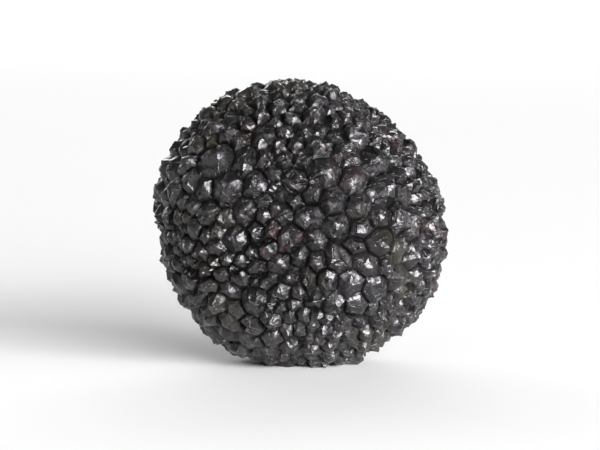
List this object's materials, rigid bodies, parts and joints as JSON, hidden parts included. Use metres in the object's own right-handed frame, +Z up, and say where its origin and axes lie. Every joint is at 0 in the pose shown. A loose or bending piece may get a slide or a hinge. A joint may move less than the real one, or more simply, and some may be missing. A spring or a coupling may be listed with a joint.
{
  "type": "summer truffle",
  "caption": "Whole round summer truffle with a black rind of close, blunt, many-sided warts, resting on a small flat spot.",
  "frame": {"origin": "under the middle of the truffle, on the surface that its flat spot rests on", "axes": "+Z up; -Y is the side that faces the viewer in the picture; +X is to the viewer's right and is the widest way"},
  "size_m": [0.021, 0.0196, 0.0203],
  "materials": {
    "rind": "satin"
  },
  "bodies": {
    "root": {"truffle": "rind"}
  },
  "joints": []
}
